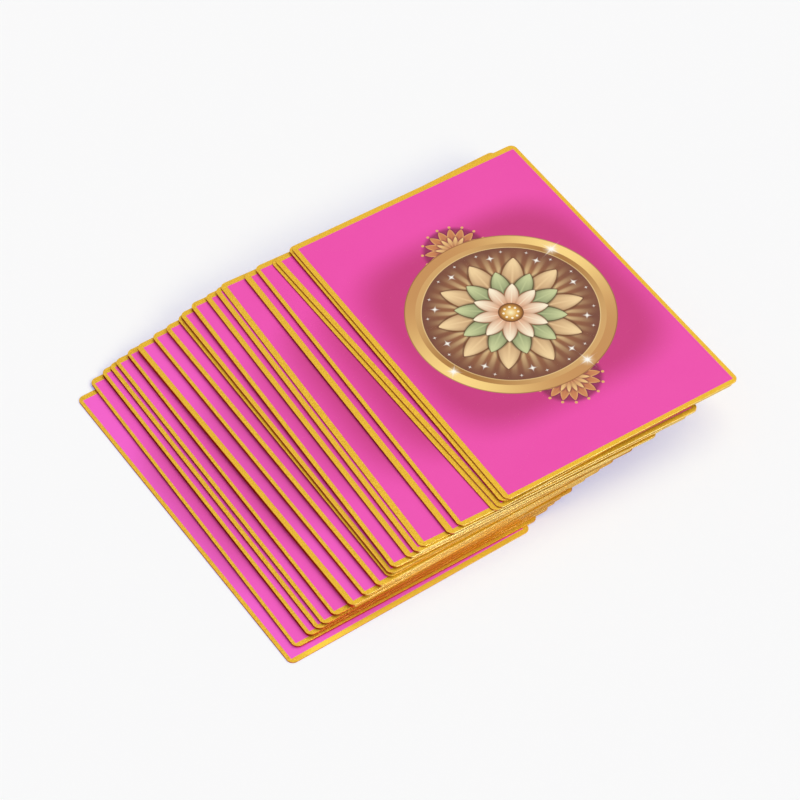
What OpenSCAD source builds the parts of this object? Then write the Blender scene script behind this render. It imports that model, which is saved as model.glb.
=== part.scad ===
// Oracle card deck: a loose pack of large cards, back up, pushed out into a leaning spread.
// +X runs along the spread, +Y along the cards' long side and +Z up. The origin lies on the
// table, under the middle of the whole spread.

/* [Card] */
// Short side of a card
card_w = 89; // [70:1:100]
// Long side of a card
card_l = 127; // [105:1:150]
// Thickness of the card stock
card_t = 0.35; // [0.25:0.01:0.5]
// Radius of the die-cut corners
corner_r = 2.25; // [1.5:0.25:6]

/* [Back] */
// Width of the stamped foil border along the long sides
border_w = 1.6; // [1:0.1:4]
// Width of the foil border along the short ends
border_end = 1.85; // [1:0.05:4]
// Depth to which the foil stamp presses the border in
stamp_d = 0.02; // [0.01:0.01:0.05]
// Length in which the drift of the print from the middle of the cut is counted
drift_unit = 0.1; // [0:0.01:0.12]

/* [Spread] */
// Air between two cards that lie on each other
card_gap = 0.05; // [0.02:0.01:0.2]
// Length in which the places of the bundles are counted
deal_unit = 0.25; // [0.1:0.025:0.3]
// Angle in which the turns of the bundles are counted
turn_unit = 0.25; // [0:0.05:0.4]
// Furthest that the lower cards of a bundle are tucked in under its top card
tuck = 0.1; // [0:0.02:0.3]

/* [Hidden] */
// Each bundle from the table up: its number of cards, its place along and across the spread
// in deal units, its turn in turn units, and the drift of its print along the spread in drift
// units
DEAL = [
    [1, 0, 0, 0, -3],
    [2, 22, 11, -5, -5],
    [3, 42, 14, -4, -4],
    [2, 54, 14, -4, -2],
    [2, 63, 14, -4, -3],
    [3, 80, 14, -5, -5],
    [4, 98, 13, -1, 2],
    [3, 120, 12, -3, -4],
    [3, 140, 11, -3, -1],
    [2, 158, 12, -5, -2],
    [2, 162, 12, -6, -1],
    [3, 174, 11, -11, -1],
    [2, 196, 10, -11, 2],
    [2, 209, 8, -13, 1],
    [1, 218, 10, -13, 5],
    [2, 254, 6, -11, 5],
    [2, 271, 6, -12, -2],
    [1, 306, 9, -1, 1],
    [1, 312, 9, 0, 2],
    [2, 327, 7, -8, 0],
    [1, 332, 6, -7, 2],
];

// Drift of the print across the spread in drift units: the mean of all cards, and the swing
DRIFT_ACROSS = [-2, 1];

// Degrees from one card to the next in the waves that scatter places, turns and cutting
SCATTER = [97, 61, 53, 139];

// Share of a turn unit by which the lower cards of a bundle are turned from its top card
SWAY = 0.125;

// One entry per card from the table up: its bundle, and how many cards of it lie on top
CARDS = [for (bundle = DEAL) for (n = [1 : bundle[0]]) [bundle, bundle[0] - n]];
LAST = len(CARDS) - 1;

$fn = 64;

// Name of a card: the lowest, the highest, or its number counted from the table
function card_name(k) =
    k == 0 ? "bottom_card" : k == LAST ? "top_card" : str("card_", k < 9 ? "0" : "", k + 1);

// 1 for a card with others of its bundle on it and 0 for the top one, which lies true
function loose(k) = min(CARDS[k][1], 1);

// Places of a card's middle along and across the spread, from the middle of the bottom card
function along(k) = CARDS[k][0][1] * deal_unit + loose(k) * tuck * (1 + sin(SCATTER[0] * k)) / 2;
function across(k) = CARDS[k][0][2] * deal_unit + loose(k) * tuck * (1 + cos(SCATTER[1] * k)) / 2;

// Turn of a card in its own plane
function turn(k) = (CARDS[k][0][3] + loose(k) * SWAY * sin(SCATTER[2] * k)) * turn_unit;

// Shift of a card's print from the middle of the card
function drift(k) = drift_unit * [
    CARDS[k][0][4] + loose(k) * sin(SCATTER[3] * k),
    DRIFT_ACROSS[0] + DRIFT_ACROSS[1] * cos(SCATTER[0] * k),
];

// Reach of a turned card from its middle to each side, along and across the spread
function reach(k, side, other) =
    (side / 2 - corner_r) * abs(cos(turn(k))) + (other / 2 - corner_r) * abs(sin(turn(k))) + corner_r;
function reach_along(k) = reach(k, card_w, card_l);
function reach_across(k) = reach(k, card_l, card_w);

// Middle of the whole spread, from the middle of the bottom card
MIDDLE = [
    (max([for (k = [0 : LAST]) along(k) + reach_along(k)])
        + min([for (k = [0 : LAST]) along(k) - reach_along(k)])) / 2,
    (max([for (k = [0 : LAST]) across(k) + reach_across(k)])
        + min([for (k = [0 : LAST]) across(k) - reach_across(k)])) / 2,
];

// Outline of a card: a rectangle with the die's round corners
module card_outline() {
    square([card_w - 2 * corner_r, card_l], center = true);
    square([card_w, card_l - 2 * corner_r], center = true);
    for (x = [-1, 1], y = [-1, 1])
        translate([x * (card_w / 2 - corner_r), y * (card_l / 2 - corner_r)])
            circle(r = corner_r);
}

// Printed panel of a back: square corners, kept inside the card's own outline
module panel_outline(shift) {
    intersection() {
        card_outline();
        translate(shift)
            square([card_w - 2 * border_w, card_l - 2 * border_end], center = true);
    }
}

// One card where it lies: the sheet with its border stamped down and its panel left standing
module card(k) {
    color([0.93, 0.3, 0.67])
        translate([along(k) - MIDDLE[0], across(k) - MIDDLE[1], k * (card_t + card_gap)])
            rotate(turn(k))
                union() {
                    linear_extrude(card_t - stamp_d) card_outline();
                    linear_extrude(card_t) panel_outline(drift(k));
                }
}

for (k = [0 : LAST])
    card(k);
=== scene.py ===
"""An oracle card deck: a loose pack of large cards, back up, pushed out into a leaning spread.

Each card is one closed sheet, worked out from its CAD card: a printed panel that stands a hair above a
stamped foil border, a gilt edge with softened rims, and a plain face underneath. The print of the backs
is drawn by arithmetic in the material, in millimetres of the card.
"""

import bpy
import numpy as np
from mathutils import Matrix, Vector


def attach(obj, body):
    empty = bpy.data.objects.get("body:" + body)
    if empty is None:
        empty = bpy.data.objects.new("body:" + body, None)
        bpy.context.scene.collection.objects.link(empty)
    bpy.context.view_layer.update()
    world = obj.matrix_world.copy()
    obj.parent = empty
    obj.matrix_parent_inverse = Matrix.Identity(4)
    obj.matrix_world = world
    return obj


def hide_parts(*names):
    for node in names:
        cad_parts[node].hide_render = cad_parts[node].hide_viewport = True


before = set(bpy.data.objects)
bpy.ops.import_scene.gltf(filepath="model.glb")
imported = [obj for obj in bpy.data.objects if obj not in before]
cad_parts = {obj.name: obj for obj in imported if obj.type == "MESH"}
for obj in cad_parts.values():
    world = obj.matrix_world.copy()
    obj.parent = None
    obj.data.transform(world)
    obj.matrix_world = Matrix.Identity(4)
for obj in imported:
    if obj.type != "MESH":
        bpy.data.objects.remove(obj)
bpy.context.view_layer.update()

MM = 0.001
FULL_TURN = 2 * np.pi

# Camera: place in millimetres, direction and roll in degrees, lens and sensor in millimetres, and the
# nearest distance that it shows, in metres
CAMERA_PLACE = (-320.5, -472.0, 673.0)
CAMERA_AZIMUTH = 56.01
CAMERA_DIP = 49.69
CAMERA_ROLL = -0.69
CAMERA_LENS = 123.03
CAMERA_SENSOR = 36.0
CAMERA_NEAR = 0.01

# Card mesh: points round each corner and steps round each cut edge; in millimetres, the rounding of the cut
# edges, the foot of the slope at the panel's rim, and how far the sheet stays inside the CAD card; the angle
# in degrees beyond which an edge is sharp
CORNER_POINTS = 17
ROUND_STEPS = 4
EDGE_ROUND = 0.03
SLOPE_FOOT = 0.01
HAIR = 0.005
SHARP_ANGLE = 40

# Rims painted dark red as shade between cards: how far in they reach on a covered card, and on the left side
# of any other, and how near the next card's middle lies to the middle of a covered one, all in millimetres
COVERED_RIM = 0.14
LEFT_RIM = 0.1
COVERED_WITHIN = 0.5

# Slack in millimetres for points on the highest level of a CAD card, and for points on its right side
LEVEL_SLACK = 0.005
SIDE_SLACK = 0.001

# Slots of a card's finishes, in the order in which the finishes are made
# The last slot holds the rim painted dark red as shade
PRINT, FOIL, GILT, FACE, DARK_RIM = range(5)

# Light: the room's glow as it lights the cards; as metal mirrors it, its dim front, its white back, the way
# towards that and how far along it the room turns white; for each soft lamp its strength, its spread in
# degrees and the direction towards it
ROOM_GLOW = (0.38, 0.38, 0.387, 1.0)
ROOM_FRONT = (0.46, 0.46, 0.46, 1.0)
BACKDROP = (0.947, 0.947, 0.947, 1.0)
BACKDROP_TOWARDS = (0.7, 0.7, 0.0)
BACKDROP_RISE = (0.0, 0.5)
LAMPS = {
    "high lamp": (1.5, 60.0, (0.5, 0.0, 0.87)),
    "front lamp": (1.05, 25.0, (0.15, -0.75, 0.6)),
}

# Floor: half its side in metres, its colour as it lights the cards, and the matt and the glowing part of it
# as it is seen
FLOOR_REACH = 4.0
FLOOR_PLAIN = (0.9, 0.9, 0.9, 1.0)
FLOOR_WARM = (0.8, 0.76, 0.42, 1.0)
FLOOR_COOL = (0.15, 0.19, 0.53, 1.0)

# Print of the backs, in millimetres from its middle: the rise of the soft shade, the gold ring with its fold
# and the softness of its outlines, the boss and its seeds, and the fans with their ground and beads
SHADE_RISE = (48.0, 34.0)
RING_INNER = 28.8
RING_FOLD = 30.9
RING_OUTER = 34.5
RING_SOFT = 0.08
BOSS = 4.2
SEEDS = 2.4
FAN_MIDDLE = 32.5
FAN_GROUND = (11.6, 9.6)
FAN_BEADS = 11.0

# Flashes on the ring: place and reach in millimetres, and tilt in degrees
FLASHES = ((27.0, 16.0, 8.5, 20.0), (-29.5, -11.0, 6.5, 50.0), (9.0, -30.0, 7.5, 10.0))

# Painted sheen on the print of lower cards: the step in its wave from one card to the next, in radians
SHEEN_WAVE_STEP = 2.4

# Petals: powers of the outline towards the root and the tip, and the scale that makes the half width at the
# widest place equal the width asked for
PETAL_ROOT = 0.7
PETAL_TIP = 0.8
PETAL_SCALE = 2.82

# Painted light on the metal: the depth runs from 0 on the top card to 1 on the bottom one, with about 60
# clouds of painted shade along it; x is in millimetres, and x minus y tells the front of a border from its
# left side
SHADE_CLOUDS = 60.0
BRIGHT_DEPTH = (0.5, 0.1)
REFLECTED_BAND_DEPTH = (0.6, 0.85)
REFLECTED_BAND_X = (60.0, -10.0)
LEFT_X = (-43.0, -43.7)
LOWEST_DEPTH = (0.93, 0.99)
FRONT_PART = (18.0, 30.0)

# Height of the finest grain in metres
GRAIN_HEIGHT = 0.00001


def colour(red, green, blue):
    """Linear colour with full alpha from the 0 to 255 values that a screen shows."""
    shown = np.array([red, green, blue]) / 255
    linear = np.where(shown <= 0.04045, shown / 12.92, ((shown + 0.055) / 1.055) ** 2.4)
    return (*linear.tolist(), 1.0)


class Field:
    """A number or colour that varies over a surface: a socket of a finish, with arithmetic on numbers."""

    def __init__(self, finish, socket):
        self.finish = finish
        self.socket = socket

    def __add__(self, other):
        return self.finish.math("ADD", self, other)

    def __sub__(self, other):
        return self.finish.math("SUBTRACT", self, other)

    def __rsub__(self, other):
        return self.finish.math("SUBTRACT", other, self)

    def __mul__(self, other):
        return self.finish.math("MULTIPLY", self, other)

    def __truediv__(self, other):
        return self.finish.math("DIVIDE", self, other)

    def __pow__(self, other):
        return self.finish.math("POWER", self, other)

    def __abs__(self):
        return self.finish.math("ABSOLUTE", self)


class Finish:
    """A material in the making: one Principled shader, and the patterns that feed its sockets."""

    def __init__(self, name, **constants):
        self.material = bpy.data.materials.new(name)
        self.material.use_nodes = True
        self.tree = self.material.node_tree
        self.shader = self.tree.nodes["Principled BSDF"]
        for socket, value in constants.items():
            self.shader.inputs[socket.replace("_", " ")].default_value = value
        self.spot = self.output("Attribute", "Vector", attribute_name="card_mm")
        self.x, self.y, self.z = self.parts(self.spot)

    def node(self, kind, **settings):
        """A new node with the given settings."""
        made = self.tree.nodes.new("ShaderNode" + kind)
        for name, value in settings.items():
            setattr(made, name, value)
        return made

    def feed(self, socket, value):
        """Links a field to a socket, or sets a constant on it."""
        if isinstance(value, Field):
            self.tree.links.new(value.socket, socket)
        else:
            socket.default_value = value

    def output(self, kind, name, inputs=None, **settings):
        """The named output of a new node that is fed with the inputs."""
        made = self.node(kind, **settings)
        for socket, value in (inputs or {}).items():
            self.feed(made.inputs[socket], value)
        return Field(self, made.outputs[name])

    def number(self, name):
        """A number that the mesh holds at each of its points."""
        return self.output("Attribute", "Fac", attribute_name=name)

    def parts(self, vector):
        """The three numbers of a vector."""
        split = self.node("SeparateXYZ")
        self.feed(split.inputs[0], vector)
        return [Field(self, socket) for socket in split.outputs]

    def joined(self, x, y, z):
        """A vector from three numbers."""
        return self.output("CombineXYZ", "Vector", {0: x, 1: y, 2: z})

    def math(self, operation, *values):
        """The result of one operation on numbers."""
        return self.output("Math", "Value", dict(enumerate(values)), operation=operation)

    def step(self, value, start, end, low=0.0, high=1.0):
        """A smooth rise from low, where the value is at start, to high, where it is at end. Start may be the
        larger of the two."""
        inputs = {0: value, 1: start, 2: end, 3: low, 4: high}
        return self.output("MapRange", "Result", inputs, interpolation_type="SMOOTHSTEP")

    def share(self, value, start, end):
        """The straight share of the way from start to end, kept between 0 and 1."""
        return self.output("MapRange", "Result", {0: value, 1: start, 2: end})

    def mix(self, under, over, amount):
        """The over colour laid on the under colour by an amount from 0 to 1."""
        made = self.node("Mix", data_type="RGBA")
        for socket, value in zip((0, 6, 7), (amount, under, over)):
            self.feed(made.inputs[socket], value)
        return Field(self, made.outputs[2])

    def ramp(self, value, *stops):
        """A colour that passes through the stops, each a position and a colour."""
        made = self.node("ValToRGB")
        for extra in stops[2:]:
            made.color_ramp.elements.new(extra[0])
        for element, (position, shade) in zip(made.color_ramp.elements, sorted(stops)):
            element.position = position
            element.color = shade
        self.feed(made.inputs[0], value)
        return Field(self, made.outputs[0])

    def noise(self, scale, detail, place=None):
        """Cloudy noise between 0 and 1, about one cloud to each 1/scale of the place's unit."""
        inputs = {"Vector": place or self.spot, "Scale": scale, "Detail": detail}
        return self.output("TexNoise", "Fac", inputs)

    def bump(self, height, strength):
        """Feeds the shader's normal with a height pattern."""
        inputs = {"Height": height, "Distance": GRAIN_HEIGHT, "Strength": strength}
        self.feed(self.shader.inputs["Normal"], self.output("Bump", "Normal", inputs))

    def set(self, socket, value):
        """Feeds one socket of the shader."""
        self.feed(self.shader.inputs[socket], value)


def around(finish, x, y, count, phase=0.0):
    """Polar place in a pattern that repeats count times round a point: the distance from the point, and the
    distance sideways from the middle of the nearest repeat, which is the angle from it times the radius."""
    radius = finish.math("SQRT", x * x + y * y)
    turns = finish.math("ARCTAN2", y, x) * (count / FULL_TURN) + phase
    aside = (finish.math("FRACT", turns) - 0.5) * radius * (FULL_TURN / count)
    return radius, aside


def petals(finish, ground, place, root, tip, width, inner, outer, edge, shadow):
    """A ring of petals laid on the ground colour. The share runs along a petal from 0 at its root to 1 at its
    tip, and the half width is the width times a scale, times the share to one power and the rest to another.
    The colour goes from inner to outer along the petal, and to the edge colour at its sides."""
    radius, aside = place
    share = finish.share(radius, root, tip)
    half = share**PETAL_ROOT * (1.0 - share) ** PETAL_TIP * (PETAL_SCALE * width)
    aside = abs(aside)
    side = aside / (half + 0.001)
    near = finish.step(aside - half, 0.9, 0.0) * finish.step(radius, tip + 0.9, tip - 0.3)
    ground = finish.mix(ground, shadow, near * 0.6)
    body = finish.ramp(share, (0.0, inner), (0.85, outer))
    body = finish.mix(body, edge, finish.step(side, 0.35, 1.0) * 0.45)
    body = finish.mix(body, outer, finish.step(side, 0.16, 0.0) * 0.5)
    body = finish.mix(body, edge, finish.step(side, 0.8, 0.92))
    return finish.mix(ground, body, finish.step(side, 1.03, 0.97))


def star(finish, ground, x, y, reach, shade, strength=1.0, bend=0.5):
    """A four-pointed star: both distances, each to the power of the bend, add up to less than its reach to
    that power. The shade is full where they add up to less than 0.45 of it. A smaller bend draws thinner
    points."""
    edge = abs(x) ** bend + abs(y) ** bend
    inside = finish.step(edge, reach**bend, 0.45 * reach**bend)
    return finish.mix(ground, shade, inside * strength)


def glint(finish, ground, x, y, reach, tilt):
    """A flash of light: a long thin tilted star, a shorter star across it and a soft glow round both."""
    cosine, sine = np.cos(np.radians(tilt)), np.sin(np.radians(tilt))
    white = colour(255, 252, 244)
    thin = 0.36
    along = x * cosine + y * sine
    across = y * cosine - x * sine
    far = finish.math("SQRT", along * along + across * across)
    ground = finish.mix(ground, colour(255, 236, 196), finish.step(far, 0.4 * reach, 0.0) * 0.5)
    ground = star(finish, ground, along, across, reach, white, bend=thin)
    diagonal = 0.7071
    rising = (along + across) * diagonal
    falling = (along - across) * diagonal
    return star(finish, ground, rising, falling, 0.6 * reach, white, bend=thin)


def back_print():
    """The print of the backs: a pink panel with a soft shade in its middle, and on it a medallion of a lotus
    in a sunburst inside a gold ring, with a fan of petals at its head and foot."""
    finish = Finish("pink back print", Specular_IOR_Level=0.2)
    x, y = finish.x, finish.y
    radius, ray = around(finish, x, y, 40)

    # Field: ink clouds and fine grain, a painted violet sheen that grows on lower cards, and the soft printed
    # shade round the medallion
    clouds = finish.noise(0.035, 3.0)
    grain = finish.noise(3.0, 3.0)
    field = finish.mix(colour(237, 72, 169), colour(241, 82, 175), clouds)
    field = finish.mix(field, colour(214, 60, 150), grain * 0.25)
    # Painted sheen: the lower cards lighter and more violet, unevenly from card to card
    depth = finish.number("card_depth")
    wave = finish.math("SINE", depth * (SHEEN_WAVE_STEP * (len(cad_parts) - 1)))
    field = finish.mix(field, colour(244, 98, 205), depth * (wave * 0.25 + 0.75))
    squared = (x**4 + y**4) ** 0.25
    field = finish.mix(field, colour(152, 14, 36), finish.step(squared, *SHADE_RISE) * 0.5)

    # Fans at the head and foot, mirrored across the card's middle
    fan_y = abs(y) - FAN_MIDDLE
    fan_radius, fan_aside = around(finish, x, fan_y, 16, 0.5)
    plum = colour(118, 30, 62)
    old_gold = colour(226, 172, 104)
    field = finish.mix(field, plum, finish.step(fan_radius, *FAN_GROUND) * 0.75)
    field = petals(
        finish, field, (fan_radius, fan_aside), root=2.0, tip=10.2, width=1.5,
        inner=colour(150, 70, 60), outer=colour(206, 134, 84), edge=old_gold, shadow=plum,
    )
    field = petals(
        finish, field, around(finish, x, fan_y, 16, 0.0), root=1.5, tip=6.6, width=0.95,
        inner=colour(170, 90, 60), outer=colour(240, 198, 130), edge=colour(120, 50, 50), shadow=plum,
    )
    bead = finish.math("SQRT", fan_aside * fan_aside + (fan_radius - FAN_BEADS) ** 2)
    field = finish.mix(field, old_gold, finish.step(bead, 0.56, 0.44))

    # Medallion ground: a warm glow that falls off to brown, with fine rays
    wash = finish.noise(0.16, 4.0)
    glow = finish.share(radius + (wash - 0.5) * 9.0, 0.0, RING_INNER)
    ground = finish.ramp(
        glow,
        (0.0, colour(255, 236, 196)),
        (0.35, colour(214, 164, 104)),
        (0.68, colour(146, 94, 60)),
        (1.0, colour(116, 68, 50)),
    )
    beam = finish.step(abs(ray) / (radius + 0.001), 0.062, 0.012) * finish.step(radius, 29.0, 12.0)
    ground = finish.mix(ground, colour(250, 220, 160), beam * 0.75)

    # Three rings of lotus petals and the boss with its seeds
    cream = colour(250, 236, 206)
    brown = colour(58, 28, 12)
    ground = petals(
        finish, ground, around(finish, x, y, 10, 0.0), root=7.0, tip=24.2, width=4.3,
        inner=colour(150, 88, 44), outer=colour(240, 208, 156), edge=colour(120, 70, 34), shadow=brown,
    )
    ground = petals(
        finish, ground, around(finish, x, y, 10, 0.5), root=5.0, tip=18.2, width=3.5,
        inner=colour(74, 92, 52), outer=colour(198, 204, 150), edge=colour(84, 78, 40), shadow=brown,
    )
    ground = petals(
        finish, ground, around(finish, x, y, 10, 0.0), root=3.0, tip=12.6, width=2.6,
        inner=colour(214, 150, 110), outer=cream, edge=colour(150, 96, 60), shadow=brown,
    )
    boss = finish.ramp(
        finish.share(radius, 0.0, BOSS),
        (0.0, colour(255, 240, 190)),
        (0.45, colour(226, 174, 84)),
        (0.85, colour(150, 94, 36)),
        (1.0, colour(84, 46, 16)),
    )
    ground = finish.mix(ground, boss, finish.step(radius, BOSS + 0.05, BOSS - 0.1))
    seed_radius, seed_aside = around(finish, x, y, 8)
    seed = finish.math("SQRT", seed_aside * seed_aside + (seed_radius - SEEDS) ** 2)
    ground = finish.mix(ground, cream, finish.step(seed, 0.5, 0.35))

    # White stars between the outer petals, and small ones further out
    star_radius, star_aside = around(finish, x, y, 10, 0.5)
    white = colour(255, 250, 238)
    ground = star(finish, ground, star_radius - 24.6, star_aside, 2.6, white)
    small_radius, small_aside = around(finish, x, y, 20, 0.0)
    ground = star(finish, ground, small_radius - 27.0, small_aside, 1.3, white, 0.8)

    # Gold ring: a broad outer band and a narrow inner one, which are light and dark by turns along it, with a
    # light inner rim and a dark outer line
    along = finish.math("ARCTAN2", y, x)
    lit = (finish.math("COSINE", along * 2.0 - 0.9) * 0.5 + 0.5) ** 2
    inner_band = finish.mix(colour(208, 162, 100), colour(168, 118, 56), lit)
    outer_band = finish.mix(colour(196, 142, 84), colour(250, 214, 132), lit)
    bands = finish.mix(inner_band, outer_band, finish.step(radius, RING_FOLD - 0.1, RING_FOLD + 0.1))
    light_rim = finish.step(radius, RING_INNER + 0.4, RING_INNER + 0.2)
    bands = finish.mix(bands, colour(240, 212, 150), light_rim * 0.6)
    dark_line = finish.step(radius, RING_OUTER - 0.5, RING_OUTER - 0.1)
    bands = finish.mix(bands, colour(136, 84, 42), dark_line * 0.8)
    on_ring = finish.step(radius, RING_INNER - RING_SOFT, RING_INNER + RING_SOFT)
    medallion = finish.mix(ground, bands, on_ring)
    in_ring = finish.step(radius, RING_OUTER + RING_SOFT, RING_OUTER - RING_SOFT)
    paint = finish.mix(field, medallion, in_ring)

    # Flashes of light on the ring
    for flash_x, flash_y, reach, tilt in FLASHES:
        paint = glint(finish, paint, x - flash_x, y - flash_y, reach, tilt)

    finish.set("Base Color", paint)
    finish.set("Roughness", finish.step(grain, 0.2, 0.8, 0.38, 0.48))
    finish.bump(grain, 0.15)
    return finish.material


def border_foil():
    """Stamped gold foil: a soft metal with a fine mottle, small bright flecks and a rougher grain in the
    darker spots. It is brighter along the front of the lowest cards, a painted light as thrown back by the
    gilt wall behind."""
    finish = Finish("gold border foil", Metallic=0.5, Specular_IOR_Level=0.2)
    mottle = finish.noise(4.0, 4.0)
    fleck = finish.noise(9.0, 2.0)
    gold = finish.mix(colour(195, 148, 29), colour(232, 189, 58), finish.step(mottle, 0.3, 0.7))
    # Painted light: the front of the lowest cards brighter, as lit by the gilt wall behind
    front = finish.step(finish.x - finish.y, *FRONT_PART)
    lowest = finish.step(finish.number("card_depth"), *LOWEST_DEPTH) * front
    gold = finish.mix(gold, colour(255, 224, 80), lowest * 0.55)
    gold = finish.mix(gold, colour(255, 220, 106), finish.step(fleck, 0.6, 0.72) * 0.5)
    finish.set("Base Color", gold)
    finish.set("Roughness", finish.step(mottle, 0.25, 0.75, 0.56, 0.48))
    finish.bump(fleck, 0.2)
    return finish.material


def edge_gilt():
    """Gilding on the cut edges: a burnished metal with long streaks along the cut and worn specks. On it lies
    painted light: the upper cards brighter as a painted reflection of the pale floor, some cards darker all
    round as painted shade between bundles, the left part of the lower cards deep orange as a painted
    reflection of the gold border below, and every card's left side redder as a painted reflection of the
    shaded pink print below."""
    finish = Finish("gilt card edge", Metallic=1.0, Specular_Tint=(0.65, 0.1, 0.06, 1.0))
    depth = finish.number("card_depth")
    along, across = 0.08, 5.0
    streak_place = finish.joined(finish.x * along, finish.y * along, finish.z * across)
    streak = finish.noise(1.0, 1.5, streak_place)
    speck = finish.noise(2.0, 2.0)
    # Masks of painted light: shade on some cards, a reflected band on the lower cards, and the left side
    shaded_card = finish.noise(SHADE_CLOUDS, 2.0, finish.joined(depth, 0.0, 0.0))
    reflected_band = finish.step(depth, *REFLECTED_BAND_DEPTH) * finish.step(finish.x, *REFLECTED_BAND_X)
    left_side = finish.step(finish.x, *LEFT_X)
    gold = finish.mix(colour(240, 182, 84), colour(255, 238, 150), finish.step(streak, 0.35, 0.65))
    # Painted reflection of the pale floor: the upper cards brighter
    gold = finish.mix(gold, colour(255, 246, 170), finish.step(depth, *BRIGHT_DEPTH) * 0.6)
    # Painted shade between bundles: some cards darker all round
    gold = finish.mix(gold, colour(168, 104, 30), finish.step(shaded_card, 0.54, 0.64) * 0.6)
    # Painted reflection of the gold border below: the left part of the lower cards deep orange
    gold = finish.mix(gold, colour(190, 108, 48), reflected_band * 0.85)
    # Painted reflection of the shaded pink print below: every card's left side redder
    gold = finish.mix(gold, colour(206, 60, 44), left_side * 0.75)
    gold = finish.mix(gold, colour(190, 110, 34), finish.step(speck, 0.62, 0.75) * 0.25)
    finish.set("Base Color", gold)
    finish.set("Roughness", finish.step(streak, 0.3, 0.7, 0.24, 0.12))
    finish.bump(streak, 0.1)
    return finish.material


def face_stock():
    """The plain face underneath: ivory stock with soft clouds and fine fibres."""
    finish = Finish("ivory face stock", Specular_IOR_Level=0.3)
    fibre = finish.noise(2.5, 5.0)
    clouds = finish.noise(0.05, 2.0)
    stock = finish.mix(colour(240, 232, 214), colour(232, 220, 198), clouds)
    stock = finish.mix(stock, colour(214, 200, 176), finish.step(fibre, 0.5, 0.8) * 0.5)
    finish.set("Base Color", stock)
    finish.set("Roughness", finish.step(fibre, 0.3, 0.7, 0.5, 0.62))
    finish.bump(fibre, 0.2)
    return finish.material


def shaded_rim():
    """A rim painted dark red as shade between cards: on cards that lie under another of their bundle, and
    along every card's left side, where it deepens the shaded red reflection of the pink print below."""
    finish = Finish("shaded dark rim", Specular_IOR_Level=0.2)
    # Painted shade: dark red in place of the gilt, mottled at random
    rim_mottle = finish.noise(1.5, 4.0)
    ground = finish.mix(colour(110, 8, 24), colour(146, 30, 28), finish.step(rim_mottle, 0.35, 0.75))
    finish.set("Base Color", ground)
    finish.set("Roughness", finish.step(rim_mottle, 0.3, 0.7, 0.7, 0.5))
    return finish.material


def card_measures(node):
    """Reads a CAD card, in millimetres. The points of its highest level are the panel's corners, whose longer
    side gives the card's two directions. The furthest points along these give its middle and half sides, and
    the points on its right side end one corner radius short of the half length."""
    points = np.empty(3 * len(node.data.vertices), np.float32)
    node.data.vertices.foreach_get("co", points)
    points = points.reshape(-1, 3).astype(float) / MM
    levels = np.unique(points[:, 2].round(3))
    panel = np.unique(points[points[:, 2] > levels[-1] - LEVEL_SLACK, :2].round(4), axis=0)
    spokes = panel - panel.mean(0)
    panel = panel[np.argsort(np.arctan2(spokes[:, 1], spokes[:, 0]))]
    sides = np.roll(panel, -1, axis=0) - panel
    long_side = sides[np.argmax(np.hypot(*sides.T))]
    long_side = long_side / np.hypot(*long_side) * np.sign(long_side[1])
    axes = np.array([[long_side[1], -long_side[0]], long_side])
    flat = points[:, :2] @ axes.T
    middle = (flat.min(0) + flat.max(0)) / 2
    half = (flat.max(0) - flat.min(0)) / 2
    flat -= middle
    right_side = flat[flat[:, 0] > half[0] - SIDE_SLACK]
    panel = panel @ axes.T - middle
    return {
        "axes": axes,
        "middle": middle,
        "half": half,
        "radius": half[1] - np.abs(right_side[:, 1]).max(),
        "levels": (levels[0], levels[-2], levels[-1]),
        "panel_half": (panel.max(0) - panel.min(0)) / 2,
        "panel_shift": (panel.max(0) + panel.min(0)) / 2,
    }


def outline(half, radius, square=False):
    """Closed outline of a rectangle with a quarter turn at each corner: the corner's own centre plus the
    radius times the direction. A square corner divides the direction by its larger part, which draws the
    quarter circle out."""
    quarter = np.linspace(0, FULL_TURN / 4, CORNER_POINTS)
    angle = (quarter + np.arange(4)[:, None] * FULL_TURN / 4).ravel()
    direction = np.stack([np.cos(angle), np.sin(angle)], axis=1)
    corner = np.repeat(np.array([[1, 1], [-1, 1], [-1, -1], [1, -1]]), CORNER_POINTS, axis=0)
    if square:
        direction = direction / np.abs(direction).max(1, keepdims=True)
    return corner * (np.asarray(half) - radius) + radius * direction


def card_rings(size, rim_width):
    """Profile of a card from the panel's rim over the border, round the cut edge and back under to the face,
    as outlines with their heights. The third outline bounds the rim that is painted dark as shade. The cut
    edge is a quarter round, the straight wall and a quarter round again."""
    half, radius = size["half"] - HAIR, size["radius"] - HAIR
    foot, border, top = size["levels"]
    inner = radius - (half - size["panel_half"]).min()
    panel = outline(size["panel_half"], inner, square=True)
    bend = np.linspace(0, FULL_TURN / 4, ROUND_STEPS + 1)
    inset = EDGE_ROUND * (1 - np.sin(bend))
    drop = EDGE_ROUND * (1 - np.cos(bend))
    cuts = [outline(half - step, radius - step) for step in inset]
    upper = [(cut, border - step) for cut, step in zip(cuts, drop)]
    lower = [(cut, foot + step) for cut, step in zip(cuts, drop)]
    rim = (outline(half - rim_width, radius - rim_width), border)
    raised = (panel + size["panel_shift"], top)
    slope = (panel * (1 + SLOPE_FOOT / half) + size["panel_shift"], border)
    return [raised, slope, rim, *upper, *lower[::-1], (panel, foot)]


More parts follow.
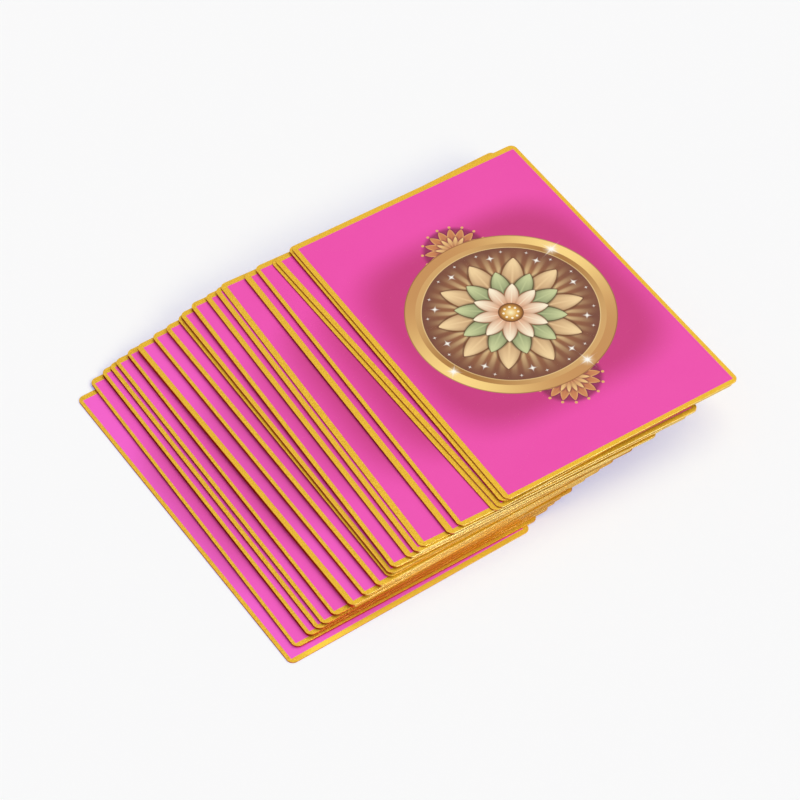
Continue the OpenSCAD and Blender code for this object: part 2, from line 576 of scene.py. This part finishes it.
def make_card(name, size, depth, covered, finishes):
    """One card: rings of points joined by quads, closed by the panel above and the face below. The points
    hold their place from the middle of the print, and the card's depth in the pile."""
    rings = card_rings(size, COVERED_RIM if covered else LEFT_RIM)
    count = len(rings[0][0])
    flat = np.concatenate([ring for ring, height in rings])
    height = np.repeat([height for ring, height in rings], count)
    spots = np.column_stack([flat, height])
    place = np.column_stack([(flat + size["middle"]) @ size["axes"], height]) * MM

    grid = np.arange(len(rings) * count).reshape(len(rings), count)
    after = np.roll(grid, -1, axis=1)
    bands = np.stack([grid[:-1], grid[1:], after[1:], after[:-1]], axis=-1)
    faces = bands.reshape(-1, 4).tolist() + [grid[0].tolist(), grid[-1][::-1].tolist()]
    mesh = bpy.data.meshes.new(name + "_sheet")
    mesh.from_pydata(place.tolist(), [], faces)

    # The slope, the border and the rim of the face are foil. The outermost band of the border is painted dark
    # red as shade all round a covered card, and on any other along the left side, which is the quad after the
    # second corner
    left_side = 2 * CORNER_POINTS - 1
    slots = np.full((len(rings) - 1, count), GILT)
    slots[[0, 1, -1]] = FOIL
    slots[2] = DARK_RIM if covered else FOIL
    slots[2, left_side] = DARK_RIM
    mesh.polygons.foreach_set("material_index", np.append(slots.ravel(), [PRINT, FACE]))
    spot = mesh.attributes.new("card_mm", "FLOAT_VECTOR", "POINT")
    printed = spots - np.append(size["panel_shift"], 0.0)
    spot.data.foreach_set("vector", printed.astype(np.float32).ravel())
    depths = mesh.attributes.new("card_depth", "FLOAT", "POINT")
    depths.data.foreach_set("value", np.full(len(spots), depth, np.float32))
    for finish in finishes:
        mesh.materials.append(finish)
    mesh.shade_smooth()
    mesh.set_sharp_from_angle(angle=np.radians(SHARP_ANGLE))
    mesh.update()

    card = bpy.data.objects.new(name + "_sheet", mesh)
    bpy.context.scene.collection.objects.link(card)
    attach(card, name)
    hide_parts(name)


def make_camera():
    """Stands the camera: forward from azimuth and dip, and right level with the floor, then turned by the
    roll."""
    azimuth, dip, roll = np.radians([CAMERA_AZIMUTH, CAMERA_DIP, CAMERA_ROLL])
    forward = Vector((np.cos(dip) * np.cos(azimuth), np.cos(dip) * np.sin(azimuth), -np.sin(dip)))
    level = forward.cross(Vector((0, 0, 1))).normalized()
    right = level * np.cos(roll) + level.cross(forward) * np.sin(roll)
    up = right.cross(forward)
    data = bpy.data.cameras.new("camera")
    data.sensor_width = CAMERA_SENSOR
    data.lens = CAMERA_LENS
    data.clip_start = CAMERA_NEAR
    camera = bpy.data.objects.new("camera", data)
    turned = Matrix((right, up, -forward)).transposed().to_4x4()
    camera.matrix_world = Matrix.Translation(Vector(CAMERA_PLACE) * MM) @ turned
    bpy.context.scene.collection.objects.link(camera)
    bpy.context.scene.camera = camera


def any_ray(tree, *kinds):
    """1 on the rays of any of the kinds, and 0 on all others."""
    path = tree.nodes.new("ShaderNodeLightPath")
    found = path.outputs[kinds[0]]
    for kind in kinds[1:]:
        either = tree.nodes.new("ShaderNodeMath")
        either.operation = "MAXIMUM"
        tree.links.new(found, either.inputs[0])
        tree.links.new(path.outputs[kind], either.inputs[1])
        found = either.outputs[0]
    return found


def make_floor():
    """A wide pale floor under the cards. As seen, straight or through gloss or glass, it is a warm matt white
    with a cool glow, so shadows on it are cool."""
    mesh = bpy.data.meshes.new("floor")
    corners = np.array([[-1, -1, 0], [1, -1, 0], [1, 1, 0], [-1, 1, 0]]) * FLOOR_REACH
    mesh.from_pydata(corners.tolist(), [], [(0, 1, 2, 3)])
    material = bpy.data.materials.new("pale floor")
    material.use_nodes = True
    tree = material.node_tree
    tree.nodes.remove(tree.nodes["Principled BSDF"])
    plain = tree.nodes.new("ShaderNodeBsdfDiffuse")
    plain.inputs["Color"].default_value = FLOOR_PLAIN
    warm = tree.nodes.new("ShaderNodeBsdfDiffuse")
    warm.inputs["Color"].default_value = FLOOR_WARM
    cool = tree.nodes.new("ShaderNodeEmission")
    cool.inputs["Color"].default_value = FLOOR_COOL
    shown = tree.nodes.new("ShaderNodeAddShader")
    tree.links.new(warm.outputs[0], shown.inputs[0])
    tree.links.new(cool.outputs[0], shown.inputs[1])
    choice = tree.nodes.new("ShaderNodeMixShader")
    seen = any_ray(tree, "Is Camera Ray", "Is Glossy Ray", "Is Transmission Ray")
    tree.links.new(seen, choice.inputs[0])
    tree.links.new(plain.outputs[0], choice.inputs[1])
    tree.links.new(shown.outputs[0], choice.inputs[2])
    tree.links.new(choice.outputs[0], tree.nodes["Material Output"].inputs[0])
    mesh.materials.append(material)
    floor = bpy.data.objects.new("floor", mesh)
    bpy.context.scene.collection.objects.link(floor)


def make_room():
    """A bright even room. Metal mirrors its white back and its dim front, where the camera stands, and the
    camera sees it white all round."""
    world = bpy.data.worlds.new("studio")
    bpy.context.scene.world = world
    world.use_nodes = True
    tree = world.node_tree
    nodes = tree.nodes
    room = nodes["Background"]
    room.inputs["Color"].default_value = ROOM_GLOW
    white = nodes.new("ShaderNodeBackground")
    white.inputs["Color"].default_value = BACKDROP
    direction = nodes.new("ShaderNodeTexCoord")
    backward = nodes.new("ShaderNodeVectorMath")
    backward.operation = "DOT_PRODUCT"
    backward.inputs[1].default_value = BACKDROP_TOWARDS
    tree.links.new(direction.outputs["Generated"], backward.inputs[0])
    rise = nodes.new("ShaderNodeMapRange")
    rise.inputs[1].default_value, rise.inputs[2].default_value = BACKDROP_RISE
    tree.links.new(backward.outputs["Value"], rise.inputs[0])
    blend = nodes.new("ShaderNodeMix")
    blend.data_type = "RGBA"
    blend.inputs[6].default_value = ROOM_FRONT
    blend.inputs[7].default_value = BACKDROP
    tree.links.new(rise.outputs[0], blend.inputs[0])
    mirrored = nodes.new("ShaderNodeBackground")
    tree.links.new(blend.outputs[2], mirrored.inputs["Color"])
    by_gloss = any_ray(tree, "Is Glossy Ray", "Is Transmission Ray")
    by_camera = any_ray(tree, "Is Camera Ray")
    shown = room
    for share, background in ((by_gloss, mirrored), (by_camera, white)):
        choice = nodes.new("ShaderNodeMixShader")
        tree.links.new(share, choice.inputs[0])
        tree.links.new(shown.outputs[0], choice.inputs[1])
        tree.links.new(background.outputs[0], choice.inputs[2])
        shown = choice
    tree.links.new(shown.outputs[0], nodes["World Output"].inputs[0])


def make_lamps():
    """Hangs the soft lamps."""
    for name, (strength, spread, towards) in LAMPS.items():
        data = bpy.data.lights.new(name, "SUN")
        data.energy = strength
        data.angle = np.radians(spread)
        lamp = bpy.data.objects.new(name, data)
        lamp.rotation_euler = Vector(towards).to_track_quat("Z", "Y").to_euler()
        bpy.context.scene.collection.objects.link(lamp)


finishes = [back_print(), border_foil(), edge_gilt(), face_stock(), shaded_rim()]
names = sorted(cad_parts)
cards = [card_measures(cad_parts[name]) for name in names]
middles = np.array([size["middle"] @ size["axes"] for size in cards])
to_next = np.append(np.hypot(*np.diff(middles, axis=0).T), np.inf)
for name, size, depth, gap in zip(names, cards, np.linspace(1, 0, len(names)), to_next):
    make_card(name, size, depth, gap < COVERED_WITHIN, finishes)
make_camera()
make_floor()
make_room()
make_lamps()
bpy.context.scene.view_settings.view_transform = "Standard"
